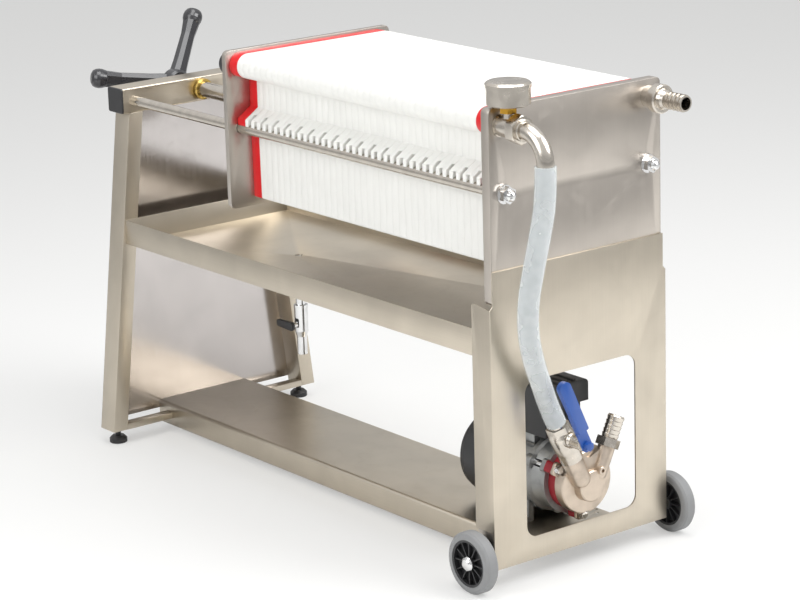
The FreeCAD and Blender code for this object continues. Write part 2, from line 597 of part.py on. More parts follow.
def fan_cover():
    """Cover with a rounded shoulder, and ring grooves in its end that let the air in."""
    end = [(0, 71), (36, 71), (46, 68), (53, 62), (57, 54)]
    for r in (48, 38, 28):
        end += [(57.5, r + 2), (53, r + 2), (53, r - 4), (57.5, r - 4)]
    return turned(V(FAN_X, PUMP_Y, PUMP_Z), V(-1, 0, 0), end)


def terminal_box():
    """Box with vertical ribs on its front, under a wider lid with three long ridges."""
    x0, x1 = PUMP_FACE_X - 160, PUMP_FACE_X - 42
    y0, y1, seam, top = PUMP_Y - 47, PUMP_Y + 43, 249, 285
    shape = box(x0 + 4, x1 - 5, y0 + 3, y1 - 13, PUMP_Z + 70, seam)
    lid = slab(at_x(x0), [(y0, seam), (y1, seam), (y1, top, 7), (y0, top, 7)], V(x1 - x0, 0, 0))
    ridges = [box(x0 + 6, x1 - 6, PUMP_Y + y - 3.5, PUMP_Y + y + 3.5, top, top + 3) for y in (-30, -14, 2, 18)]
    ribs = [box(x1 - 5, x1 - 2, y0 + 8 + 9 * k, y0 + 11 + 9 * k, PUMP_Z + 74, seam) for k in range(8)]
    return shape.fuse([lid] + ridges + ribs)


def suction_tail():
    axis, base = port_axis(1), port_point(1, 88)
    nut = hexagon(base, axis, 34, 14)
    tail = turned(base + axis * 14, axis, barbs(0, 5, 7, 12.8, 14) + [(37, 12.8), (38, 12.6)])
    return nut.fuse(tail).cut(rod(base - axis, base + axis * 53, 10))


def valve_body():
    """Ball valve in line with the left port, with a hexagon at its hose end and a stem towards +X."""
    axis, along = port_axis(-1), V(1, 0, 0)
    body = turned(port_point(-1, VALVE_REACH), axis,
                  [(0, 19), (14, 19), (21, 21), (50, 21), (56, 18), (62, 15), (71.9, 13)])
    flats = hexagon(port_point(-1, VALVE_REACH + 53), axis, 34, 15)
    stem = port_point(-1, STEM_REACH)
    gland = turned(stem + along * 10, along, [(0, 13), (14, 13), (18, 10.5), (38, 10.5)])
    nut = hexagon(stem + along * 30, along, 19, LEVER_X - PORT_X - 30 - FIT)
    return body.fuse([flats, gland, nut])


def valve_lever():
    """Flat lever that lies along the valve when it is open, in a thick sleeve with a round end."""
    foot = port_point(-1, STEM_REACH, LEVER_X)
    axis, across = port_axis(-1), port_axis(-1).cross(V(1, 0, 0))
    place = lambda p: foot + across * p[0] + axis * p[1]
    strip = slab(place, [(-10, -10, 8), (10, -10, 8), (10, 66, 3), (-10, 66, 3)], V(3, 0, 0))
    sleeve = slab(place, [(-10, 30, 2), (10, 30, 2), (11, 126, 10.5), (-11, 126, 10.5)], V(10, 0, 0))
    sleeve.translate(V(2, 0, 0))
    nut = hexagon(foot + V(3, 0, 0), V(1, 0, 0), 14, 7)
    return strip.fuse([sleeve, nut])


# ---- hose --------------------------------------------------------------------------------------
def tube_path(points):
    """Straight runs joined by the largest tangent arcs that both runs allow; gives the radii too."""
    points = [V(*p) for p in points]
    edges, radii, here = [], [], points[0]
    for before, corner, after in zip(points, points[1:], points[2:]):
        back, ahead = before - corner, after - corner
        shorter = min(back.Length, ahead.Length)
        back.normalize()
        ahead.normalize()
        turn = math.pi - back.getAngle(ahead)
        radius = 0.45 * shorter / math.tan(turn / 2)
        start, end = corner + back * 0.45 * shorter, corner + ahead * 0.45 * shorter
        inward = (back + ahead).normalize()
        middle = corner + inward * (radius / math.cos(turn / 2) - radius)
        edges.append(Part.LineSegment(here, start).toShape())
        edges.append(Part.Arc(start, middle, end).toShape())
        radii.append(round(radius))
        here = end
    edges.append(Part.LineSegment(here, points[-1]).toShape())
    return Part.Wire(edges), radii


def delivery_hose():
    path, radii = tube_path(HOSE_ROUTE)
    tube = pipe(path, HOSE_R, V(*HOSE_ROUTE[1]) - V(*HOSE_ROUTE[0]))
    print("hose: length", round(path.Length, 1), "radii", radii,
          "volume ratio", round(tube.Volume / (math.pi * HOSE_R ** 2 * path.Length), 4))
    return tube


# ---- drain -------------------------------------------------------------------------------------
def drain_valve():
    low = TRAY_RIM - TRAY_DEPTH - TRAY_DISH
    neck, body = [(0, 12), (4, 12), (4, 8.6), (88, 8.6)], [(88, 12.5), (93, 12.5), (93, 12), (136, 12)]
    shape = turned(V(DRAIN_X, 0, low), V(0, 0, -1), neck + body + [(146, 9), (178, 9)])
    stem = rod(V(DRAIN_X, -11, DRAIN_STEM_Z), V(DRAIN_X, -20, DRAIN_STEM_Z), 5)
    return shape.fuse(stem)


def drain_lever():
    y = -20.4
    return slab(at_y(y), [(DRAIN_X + 9, DRAIN_STEM_Z - 8, 5), (DRAIN_X + 9, DRAIN_STEM_Z + 8, 5),
                          (DRAIN_X - 38, DRAIN_STEM_Z + 6, 4), (DRAIN_X - 38, DRAIN_STEM_Z - 6, 4)], V(0, -7, 0))


# ---- write every piece -------------------------------------------------------------------------
save("front_stand", front_stand())
save("head_plate", head_plate())
save("tie_rods", tie_rods())
save("dome_nuts", dome_nuts())
left_leg = leg()
save("leg_left", left_leg)
save("leg_right", left_leg.mirror(V(0, 0, 0), V(0, 1, 0)))
save("cross_tube", cross_tube())
save("cross_tube_caps", cross_tube_caps())
save("back_panel", back_panel())
save("lower_cross_bars", lower_cross_bars())
save("levelling_feet", levelling_feet())
save("tray", tray())
save("shelf", shelf())
save("filter_plates_odd", filter_plates(0))
save("filter_plates_even", filter_plates(1))
save("end_plate_head", end_plate(FACE_X - SHEET - HEAD_T - END_PLATE_T))
save("end_plate_screw", end_plate(PACK_END))
save("pressure_plate", pressure_plate())
save("thrust_cup", thrust_cup())
save("channel_plugs", channel_plugs())
save("spindle", spindle())
save("spindle_nut", spindle_nut())
save("handwheel", handwheel())
for name, side in (("left", -1), ("right", 1)):
    save("tyre_" + name, tyre(side))
    save("rim_" + name, rim(side))
    save("hub_cap_" + name, hub_cap(side))
save("axles", axles())
save("axle_brackets", axle_brackets())
save("inlet_socket", inlet_socket())
save("union_nut", union_nut())
save("elbow", elbow())
save("gauge_nipple", gauge_nipple())
save("gauge", gauge())
save("outlet_fitting", outlet_fitting())
save("pump_head", pump_head())
save("red_ring", red_ring())
save("pump_studs", pump_studs())
save("motor_flange", motor_flange())
save("motor_housing", motor_housing())
save("fan_cover", fan_cover())
save("terminal_box", terminal_box())
save("suction_tail", suction_tail())
save("valve_body", valve_body())
save("valve_lever", valve_lever())
save("delivery_hose", delivery_hose())
save("drain_valve", drain_valve())
save("drain_lever", drain_lever())

size = Part.makeCompound(whole).BoundBox
print("whole machine", [round(v, 1) for v in (size.XMin, size.XMax, size.YMin, size.YMax, size.ZMin, size.ZMax)])
print("pieces", len(whole), "invalid", sum(not s.isValid() for s in whole))
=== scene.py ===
"""Plate filter press: its finishes, its braided hose and a pale studio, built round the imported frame.

Lengths are in metres, and values whose names end in _mm are in millimetres. The frame's +X runs from the
hand screw to the pump end.
"""
import json
import math

import bpy
from bpy.props import FloatProperty, FloatVectorProperty, IntProperty, PointerProperty
from bpy.types import Operator, Panel, PropertyGroup
from mathutils import Matrix, Vector


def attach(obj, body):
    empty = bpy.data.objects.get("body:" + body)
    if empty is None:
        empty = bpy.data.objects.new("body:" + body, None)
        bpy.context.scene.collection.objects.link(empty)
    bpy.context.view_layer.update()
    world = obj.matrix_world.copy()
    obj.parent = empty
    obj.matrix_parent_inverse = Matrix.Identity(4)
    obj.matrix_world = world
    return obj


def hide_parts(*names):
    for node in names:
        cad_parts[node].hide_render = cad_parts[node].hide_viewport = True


bl_info = {
    "name": "Plate filter press",
    "version": (1, 0, 0),
    "blender": (4, 5, 0),
    "location": "3D View > Sidebar > Filter Press",
    "description": "Finishes and small parts of a wheeled plate filter press",
    "category": "Object",
}

MM = 0.001
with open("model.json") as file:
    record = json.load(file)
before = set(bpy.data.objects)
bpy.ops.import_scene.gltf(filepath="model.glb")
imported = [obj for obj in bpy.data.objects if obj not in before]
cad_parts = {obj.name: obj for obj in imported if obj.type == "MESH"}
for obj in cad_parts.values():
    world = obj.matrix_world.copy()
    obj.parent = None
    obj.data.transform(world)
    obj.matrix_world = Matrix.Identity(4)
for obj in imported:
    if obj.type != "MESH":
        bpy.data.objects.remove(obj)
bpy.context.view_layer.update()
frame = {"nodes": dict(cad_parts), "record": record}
NODES = frame["nodes"]
BODY_OF = {node: body for body, nodes in frame["record"]["behaviour"]["bodies"].items() for node in nodes}


def linear(code):
    """A hex sRGB colour as linear red, green, blue and alpha."""
    parts = [int(code[i:i + 2], 16) / 255 for i in (1, 3, 5)]
    return tuple(c / 12.92 if c <= 0.04045 else ((c + 0.055) / 1.055) ** 2.4 for c in parts) + (1.0,)


# ---- what a user would change ------------------------------------------------------------------
def colour(label, about, code):
    return FloatVectorProperty(name=label, description=about, subtype="COLOR", size=4, min=0, max=1,
                               default=linear(code))


def length(label, about, millimetres):
    return FloatProperty(name=label, description=about, unit="LENGTH", precision=4, min=0,
                         default=millimetres * MM)


class FILTERPRESS_PG_finishes(PropertyGroup):
    """Colours of the finishes."""
    sheet: colour("Sheet steel", "Drawn stainless sheet of the stand, tray and shelf", "#C9C0B1")
    plate: colour("Plate steel", "Ground stainless plate of the head and pressure plates", "#BDB6AE")
    mirror_sheet: colour("Cold-rolled sheet", "Bright rolled sheet of the back panel", "#BDB8B6")
    bright: colour("Bright steel", "Turned and polished stainless fittings", "#CFC8BE")
    cast: colour("Cast steel", "Bead-blasted stainless pump casting", "#C6B8A9")
    chrome: colour("Chrome", "Chromed nuts and caps", "#DCDCDC")
    bronze: colour("Bronze", "Machined screw nut", "#C2A45C")
    brass: colour("Brass", "Gauge nipple", "#C99A3C")
    aluminium: colour("Aluminium", "Die-cast motor parts", "#9C9D9C")
    white: colour("White plastic", "Moulded filter plates", "#F2F2EE")
    red: colour("Red plastic", "Moulded end plates", "#D9121B")
    seal: colour("Red rubber", "Sealing ring of the pump", "#A5202C")
    black: colour("Black plastic", "Moulded covers and caps", "#2B2B2D")
    grip: colour("Handwheel plastic", "Pressed thermoset of the handwheel", "#26262A")
    tyre: colour("Grey rubber", "Non-marking tyres", "#8B8C8D")
    vinyl: colour("Blue vinyl", "Dipped sleeve of the valve lever", "#1D4E9E")
    hose: colour("Hose wall", "Clear plasticised wall of the hose", "#DCE2E4")
    yarn: colour("Yarn", "Braided yarn in the hose wall", "#F4F6F6")
    floor: colour("Floor", "Pale studio floor", "#F7F7F6")


class FILTERPRESS_PG_sizes(PropertyGroup):
    """Sizes of the small parts."""
    hose_diameter: length("Hose diameter", "Outside diameter of the delivery hose", 34)
    yarn_width: length("Yarn width", "Width of one yarn of the braid", 1.3)
    yarn_count: IntProperty(name="Yarns", description="Yarns that run each way round the hose",
                            default=20, min=4)
    camera_lens: FloatProperty(name="Lens", description="Focal length in millimetres on a 36 mm sensor",
                               default=130.3, min=1)


# ---- node trees --------------------------------------------------------------------------------
GRAIN_LENGTH = 60          # a grain streak's length, in widths
RING_SCALE = 3.1 / 20      # scale of a wave texture whose tool rings are one unit apart


def add(tree, kind, feeds=None, stops=None, **settings):
    """Adds one shader node. feeds gives its inputs, by name or number, a value or the output that drives
    them, stops are the places and colours of a colour ramp, and settings are the node's own options."""
    node = tree.nodes.new(kind)
    for name, value in settings.items():
        setattr(node, name, value)
    for key, value in (feeds or {}).items():
        if isinstance(value, bpy.types.NodeSocket):
            tree.links.new(value, node.inputs[key])
        else:
            node.inputs[key].default_value = value
    if stops:
        ramp = node.color_ramp
        while len(ramp.elements) < len(stops):
            ramp.elements.new(0.5)
        for element, (place, shade) in zip(ramp.elements, stops):
            element.position = place
            element.color = shade if len(shade) == 4 else tuple(shade) + (1.0,)
    return node


def grey(value):
    return (value, value, value, 1.0)


def empty_material(name):
    """A material with only its output, and the tree to fill."""
    material = bpy.data.materials.new(name)
    material.use_nodes = True
    tree = material.node_tree
    tree.nodes.clear()
    output = add(tree, "ShaderNodeOutputMaterial")
    return material, tree, output


def tinted(colour_value, factor):
    return tuple(min(1.0, c * factor) for c in colour_value[:3]) + (1.0,)


def drawn_steel(name, base, grain_axis, roughness, grain_mm=1.6, contrast=0.05, smear=0.07):
    """Stainless sheet with a drawn grain: long soft streaks one way, handling smears, an uneven tint."""
    material, tree, output = empty_material(name)
    place = add(tree, "ShaderNodeTexCoord").outputs["Object"]
    scale = [1 / (grain_mm * MM)] * 3
    scale["xyz".index(grain_axis)] /= GRAIN_LENGTH
    stretched = add(tree, "ShaderNodeMapping", {"Vector": place, "Scale": scale}).outputs[0]
    streaks = add(tree, "ShaderNodeTexNoise",
                  {"Vector": stretched, "Scale": 1.0, "Detail": 3.0}).outputs["Fac"]
    patches = add(tree, "ShaderNodeTexNoise", {"Vector": place, "Scale": 1 / (90 * MM), "Detail": 2.0,
                                               "Distortion": 0.4}).outputs["Fac"]
    smears = add(tree, "ShaderNodeTexNoise", {"Vector": place, "Scale": 1 / (28 * MM), "Detail": 4.0,
                                              "Distortion": 1.2}).outputs["Fac"]
    tint = add(tree, "ShaderNodeValToRGB", {"Fac": patches},
               [(0.3, tinted(base, 0.93)), (0.55, base), (0.75, tinted(base, 1.05))]).outputs[0]
    shade = add(tree, "ShaderNodeMapRange",
                {"Value": streaks, "To Min": 1 - contrast, "To Max": 1 + contrast}).outputs[0]
    both = add(tree, "ShaderNodeVectorMath", {0: tint, 1: shade}, operation="MULTIPLY").outputs[0]
    streaky = add(tree, "ShaderNodeMapRange", {"Value": streaks, "To Min": roughness - 0.04,
                                               "To Max": roughness + 0.06}).outputs[0]
    wiped = add(tree, "ShaderNodeMapRange", {"Value": smears, "From Min": 0.5, "From Max": 0.75,
                                             "To Min": 0.0, "To Max": smear}).outputs[0]
    rough = add(tree, "ShaderNodeMath", {0: streaky, 1: wiped}, operation="ADD").outputs[0]
    bump = add(tree, "ShaderNodeBump",
               {"Height": streaks, "Strength": 0.12, "Distance": 0.02 * MM}).outputs[0]
    shader = add(tree, "ShaderNodeBsdfPrincipled", {"Base Color": both, "Metallic": 1.0, "Roughness": rough,
                                                    "Normal": bump}).outputs[0]
    tree.links.new(shader, output.inputs["Surface"])
    return material


def turned_steel(name, base, roughness, ring_mm=0.8, axis="x"):
    """Turned bright metal: fine tool rings round the axis, and a faint uneven polish."""
    material, tree, output = empty_material(name)
    place = add(tree, "ShaderNodeTexCoord").outputs["Object"]
    rings = add(tree, "ShaderNodeTexWave", {"Vector": place, "Scale": RING_SCALE / (ring_mm * MM),
                                            "Distortion": 0.6, "Detail": 1.0},
                wave_type="BANDS", bands_direction=axis.upper()).outputs["Fac"]
    patches = add(tree, "ShaderNodeTexNoise",
                  {"Vector": place, "Scale": 1 / (14 * MM), "Detail": 3.0}).outputs["Fac"]
    tint = add(tree, "ShaderNodeValToRGB", {"Fac": patches},
               [(0.3, tinted(base, 0.9)), (0.7, tinted(base, 1.04))]).outputs[0]
    rough = add(tree, "ShaderNodeMapRange", {"Value": patches, "From Min": 0.3, "From Max": 0.7,
                                             "To Min": roughness - 0.04,
                                             "To Max": roughness + 0.08}).outputs[0]
    bump = add(tree, "ShaderNodeBump",
               {"Height": rings, "Strength": 0.06, "Distance": 0.02 * MM}).outputs[0]
    shader = add(tree, "ShaderNodeBsdfPrincipled", {"Base Color": tint, "Metallic": 1.0, "Roughness": rough,
                                                    "Normal": bump}).outputs[0]
    tree.links.new(shader, output.inputs["Surface"])
    return material


def cast_metal(name, base, roughness, grit_mm=0.9, relief=0.25, metallic=1.0):
    """Bead-blasted or die-cast metal: a fine even grit, darker where handling leaves its mark."""
    material, tree, output = empty_material(name)
    place = add(tree, "ShaderNodeTexCoord").outputs["Object"]
    grit = add(tree, "ShaderNodeTexNoise",
               {"Vector": place, "Scale": 1 / (grit_mm * MM), "Detail": 3.0}).outputs["Fac"]
    tone = add(tree, "ShaderNodeTexNoise",
               {"Vector": place, "Scale": 1 / (22 * MM), "Detail": 4.0}).outputs["Fac"]
    tint = add(tree, "ShaderNodeValToRGB", {"Fac": tone},
               [(0.3, tinted(base, 0.82)), (0.52, base), (0.72, tinted(base, 1.06))]).outputs[0]
    rough = add(tree, "ShaderNodeMapRange", {"Value": tone, "To Min": roughness + 0.1,
                                             "To Max": roughness - 0.1}).outputs[0]
    bump = add(tree, "ShaderNodeBump",
               {"Height": grit, "Strength": relief, "Distance": 0.12 * MM}).outputs[0]
    shader = add(tree, "ShaderNodeBsdfPrincipled", {"Base Color": tint, "Metallic": metallic,
                                                    "Roughness": rough, "Normal": bump}).outputs[0]
    tree.links.new(shader, output.inputs["Surface"])
    return material


def moulded(name, base, roughness, texture_mm=1.0, relief=0.1, coat=0.0, through=0.0, ior=1.49,
            uneven=0.06):
    """Injection-moulded or pressed plastic: fine mould texture, slow tone changes, some skin gloss."""
    material, tree, output = empty_material(name)
    place = add(tree, "ShaderNodeTexCoord").outputs["Object"]
    texture = add(tree, "ShaderNodeTexNoise", {"Vector": place, "Scale": 1 / (texture_mm * MM),
                                               "Detail": 2.0}).outputs["Fac"]
    tone = add(tree, "ShaderNodeTexNoise",
               {"Vector": place, "Scale": 1 / (45 * MM), "Detail": 3.0}).outputs["Fac"]
    tint = add(tree, "ShaderNodeValToRGB", {"Fac": tone},
               [(0.3, tinted(base, 1 - uneven)), (0.7, tinted(base, 1 + uneven))]).outputs[0]
    rough = add(tree, "ShaderNodeMapRange", {"Value": tone, "To Min": roughness - 0.06,
                                             "To Max": roughness + 0.06}).outputs[0]
    bump = add(tree, "ShaderNodeBump",
               {"Height": texture, "Strength": relief, "Distance": 0.05 * MM}).outputs[0]
    shader = add(tree, "ShaderNodeBsdfPrincipled",
                 {"Base Color": tint, "Roughness": rough, "Normal": bump, "IOR": ior, "Coat Weight": coat,
                  "Subsurface Weight": through, "Subsurface Radius": (6 * MM, 6 * MM, 6 * MM),
                  "Subsurface Scale": 1.0}).outputs[0]
    tree.links.new(shader, output.inputs["Surface"])
    return material


def clear_wall(name, base, cover):
    """Clear plasticised hose wall: glossy, and partly see-through to the yarn below it."""
    material, tree, output = empty_material(name)
    place = add(tree, "ShaderNodeTexCoord").outputs["Object"]
    haze = add(tree, "ShaderNodeTexNoise",
               {"Vector": place, "Scale": 1 / (35 * MM), "Detail": 2.0}).outputs["Fac"]
    see = add(tree, "ShaderNodeMapRange", {"Value": haze, "From Min": 0.3, "From Max": 0.7,
                                           "To Min": cover - 0.06, "To Max": cover + 0.06}).outputs[0]
    shader = add(tree, "ShaderNodeBsdfPrincipled", {"Base Color": base, "Roughness": 0.12, "IOR": 1.53,
                                                    "Alpha": see}).outputs[0]
    tree.links.new(shader, output.inputs["Surface"])
    return material


FINISH = {}


def make_finishes(tones):
    """Every finish of the press, by name."""
    FINISH.update({
        # drawn stainless sheet: satin, with a grain along each folded part
        "sheet_upright": drawn_steel("drawn_stainless_upright", tones.sheet, "z", 0.36),
        "sheet_long": drawn_steel("drawn_stainless_long", tones.sheet, "x", 0.34),
        "sheet_cross": drawn_steel("drawn_stainless_cross", tones.sheet, "y", 0.34),
        # ground stainless plate: flatter and greyer than the sheet, with little streak
        "plate": drawn_steel("ground_stainless_plate", tones.plate, "z", 0.34, contrast=0.04),
        # cold-rolled sheet: bright enough to mirror the tray and the plates in soft shapes
        "mirror_sheet": drawn_steel("cold_rolled_sheet", tones.mirror_sheet, "z", 0.14, contrast=0.03,
                                    smear=0.05),
        # drawn and turned stainless: sharp long highlights
        "bright_rod": turned_steel("drawn_bright_rod", tones.bright, 0.16, axis="x"),
        "bright": turned_steel("turned_bright_steel", tones.bright, 0.2, axis="z"),
        # bead-blasted stainless casting: soft sheen, darker in patches
        "cast": cast_metal("bead_blasted_casting", tones.cast, 0.36, relief=0.18),
        # chrome plating: a near mirror
        "chrome": turned_steel("chrome_plating", tones.chrome, 0.1, axis="z"),
        # machined bronze and brass: warm yellow glints
        "bronze": turned_steel("machined_bronze", tones.bronze, 0.25, axis="x"),
        "brass": turned_steel("machined_brass", tones.brass, 0.22, axis="z"),
        # die-cast aluminium: dull even grey
        "aluminium": cast_metal("die_cast_aluminium", tones.aluminium, 0.45, metallic=0.85),
        # injection-moulded polypropylene: soft sheen, and a little light through the white
        "white": moulded("moulded_polypropylene_white", tones.white, 0.42, through=0.12, uneven=0.015),
        "red": moulded("moulded_polypropylene_red", tones.red, 0.35, uneven=0.05),
        # moulded nitrile rubber: dull red edge of the sealing ring
        "seal": moulded("moulded_rubber_seal", tones.seal, 0.5, ior=1.52),
        # glass-filled nylon: black with a fine spark texture
        "black": moulded("textured_black_plastic", tones.black, 0.45, relief=0.25, ior=1.52),
        # pressed phenolic: hard and glossy
        "grip": moulded("pressed_thermoset", tones.grip, 0.26, relief=0.08, coat=0.25, ior=1.6),
        # non-marking thermoplastic rubber: flat grey
        "tyre": moulded("grey_rubber", tones.tyre, 0.6, relief=0.15, ior=1.52, uneven=0.04),
        # dipped vinyl: thick, smooth and shiny
        "vinyl": moulded("dipped_vinyl", tones.vinyl, 0.3, relief=0.06, coat=0.2, ior=1.53),
        # plasticised hose: a clear gloss over the yarn, with the inner wall behind
        "hose": clear_wall("clear_hose_wall", tones.hose, 0.35),
        "yarn": moulded("polyester_yarn", tones.yarn, 0.55, uneven=0.02),
        # the inner wall is opaque and 0.78 times darker than the clear wall: painted shade of the dim
        # inside of the hose, seen between the yarns
        "bore": moulded("hose_inner_wall_painted_shade", tinted(tones.hose, 0.78), 0.4, uneven=0.03),
    })


# ---- modelling by hand -------------------------------------------------------------------------
LOOSE_CORNER = 0.004 * MM              # corners of a mesh that lie this near are one
FLAT_ENOUGH = math.radians(0.5)        # faces that meet at less than this are one


def nothing_selected():
    active = bpy.context.view_layer.objects.active
    if active and active.mode != "OBJECT":
        bpy.ops.object.mode_set(mode="OBJECT")
    bpy.ops.object.select_all(action="DESELECT")


def take(piece):
    """Selects one piece alone and makes it the active one."""
    nothing_selected()
    piece.select_set(True)
    bpy.context.view_layer.objects.active = piece
    return piece


def finished(piece, name, body, finish, smooth=35):
    """Applies a piece's modifiers and place, names it, and gives it its finish and the body it rides on."""
    take(piece)
    for modifier in list(piece.modifiers):
        bpy.ops.object.modifier_apply(modifier=modifier.name)
    bpy.ops.object.transform_apply(location=True, rotation=True, scale=True)
    bpy.ops.object.shade_smooth_by_angle(angle=math.radians(smooth))
    piece.name = piece.data.name = name
    piece.data.materials.clear()
    piece.data.materials.append(FINISH[finish])
    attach(piece, body)
    return piece


def coated(finish, *nodes):
    """CAD nodes that keep their own mesh get a finish."""
    for node in nodes:
        mesh = NODES[node].data
        mesh.materials.clear()
        mesh.materials.append(FINISH[finish])


def eased(node, finish, width_mm=0.6, smooth=35):
    """A copy of a CAD node with its corners rounded over as the real ones are, standing for the node."""
    nothing_selected()
    piece = bpy.data.objects.new(node + "_eased", NODES[node].data.copy())
    bpy.context.scene.collection.objects.link(piece)
    take(piece)
    bpy.ops.mesh.customdata_custom_splitnormals_clear()
    bpy.ops.object.mode_set(mode="EDIT")
    bpy.ops.mesh.select_all(action="SELECT")
    bpy.ops.mesh.remove_doubles(threshold=LOOSE_CORNER)
    bpy.ops.mesh.dissolve_limited(angle_limit=FLAT_ENOUGH)
    bpy.ops.object.mode_set(mode="OBJECT")
    bevel = piece.modifiers.new("eased corners", "BEVEL")
    bevel.width = width_mm * MM
    bevel.segments = 2
    bevel.limit_method = "ANGLE"
    bevel.angle_limit = math.radians(smooth)
    bevel.use_clamp_overlap = True
    finished(piece, node + "_eased", BODY_OF[node], finish, smooth=smooth)
    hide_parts(node)
    return piece


# ---- operators: one for each group of pieces ---------------------------------------------------
CAMERA_ANGLES = (52.2, 15.4, -1.7)     # azimuth, elevation and roll in degrees
CAMERA_TARGET = (0.082, -0.0043, 0.3468)
CAMERA_DISTANCE = 4.859


def direction(azimuth, elevation):
    """The way from the machine towards something seen at these angles, in radians."""
    return Vector((math.sin(azimuth) * math.cos(elevation), -math.cos(azimuth) * math.cos(elevation),
                   math.sin(elevation)))


class FILTERPRESS_OT_camera(Operator):
    """Place the camera at three-quarter view from the pump end"""
    bl_idname = "filterpress.camera"
    bl_label = "Camera"

    def execute(self, context):
        azimuth, elevation, roll = (math.radians(angle) for angle in CAMERA_ANGLES)
        back = direction(azimuth, elevation)
        level = Vector((math.cos(azimuth), math.sin(azimuth), 0))
        upright = back.cross(level)
        right = level * math.cos(roll) + upright * math.sin(roll)
        above = upright * math.cos(roll) - level * math.sin(roll)
        place = Vector(CAMERA_TARGET) + back * CAMERA_DISTANCE
        camera = bpy.data.objects.new("camera", bpy.data.cameras.new("camera"))
        context.scene.collection.objects.link(camera)
        camera.matrix_world = Matrix((
            (right.x, above.x, back.x, place.x), (right.y, above.y, back.y, place.y),
            (right.z, above.z, back.z, place.z), (0, 0, 0, 1)))
        camera.data.lens = context.scene.filterpress_sizes.camera_lens
        camera.data.sensor_width = 36
        camera.data.clip_start, camera.data.clip_end = 0.05, 100
        context.scene.camera = camera
        return {"FINISHED"}


HOSE_ROUTE = [
    (0.6300, -0.1510, 0.6880), (0.6300, -0.1510, 0.6400), (0.6290, -0.1610, 0.5900),
    (0.6230, -0.1710, 0.5350), (0.6120, -0.1740, 0.4800), (0.5990, -0.1640, 0.4250),
    (0.5840, -0.1400, 0.3720), (0.5600, -0.1040, 0.3220), (0.5290, -0.0657, 0.2773),
    (0.5290, -0.05016, 0.2448),
]
POINT_SPACING = 2.5 * MM               # between the points that the yarns follow
HOSE_WALL = 3.2 * MM
YARN_DEPTH = 1.6 * MM                  # from the outside of the hose down to its yarns
YARN_RISE = 0.35 * MM                  # height of a yarn's middle over its edges
YARN_CROSSING = 0.15 * MM              # how far the upper yarns lie over the lower ones
BRAID_ANGLE = math.radians(50)         # between a yarn and the hose's axis
BORE_SIDES = 24


def route_curve(name, route, thickness):
    """A smooth cord along a route of control points, with a round section."""
    line = bpy.data.curves.new(name, "CURVE")
    line.dimensions = "3D"
    spline = line.splines.new("NURBS")
    spline.points.add(len(route) - 1)
    for point, place in zip(spline.points, route):
        point.co = (*place, 1.0)
    spline.order_u = 3
    spline.use_endpoint_u = True
    line.resolution_u = 16
    line.bevel_depth = thickness / 2
    line.bevel_resolution = 7
    line.use_fill_caps = thickness > 0
    piece = bpy.data.objects.new(name, line)
    bpy.context.scene.collection.objects.link(piece)
    return piece


def route_points(route, spacing):
    """Evenly spaced points along a route's smooth line, and the line's length."""
    guide = route_curve("guide", route, 0)
    bpy.context.view_layer.update()
    mesh = bpy.data.meshes.new_from_object(guide)
    line = [v.co.copy() for v in mesh.vertices]
    bpy.data.objects.remove(guide)
    bpy.data.meshes.remove(mesh)
    reach = [0.0]
    for a, b in zip(line, line[1:]):
        reach.append(reach[-1] + (b - a).length)
    count = max(2, round(reach[-1] / spacing))
    points, at = [], 0
    for k in range(count + 1):
        want = reach[-1] * k / count
        while at < len(line) - 2 and reach[at + 1] < want:
            at += 1
        share = (want - reach[at]) / max(reach[at + 1] - reach[at], 1e-9)
        points.append(line[at].lerp(line[at + 1], share))
    return points, reach[-1]


def along_frames(points):
    """A steady side and upward direction at each point, carried along without twisting."""
    frames, side = [], None
    for k, point in enumerate(points):
        ahead = (points[min(k + 1, len(points) - 1)] - points[max(k - 1, 0)]).normalized()
        if side is None:
            side = ahead.orthogonal().normalized()
        side = (side - ahead * side.dot(ahead)).normalized()
        frames.append((point, side, ahead.cross(side)))
    return frames


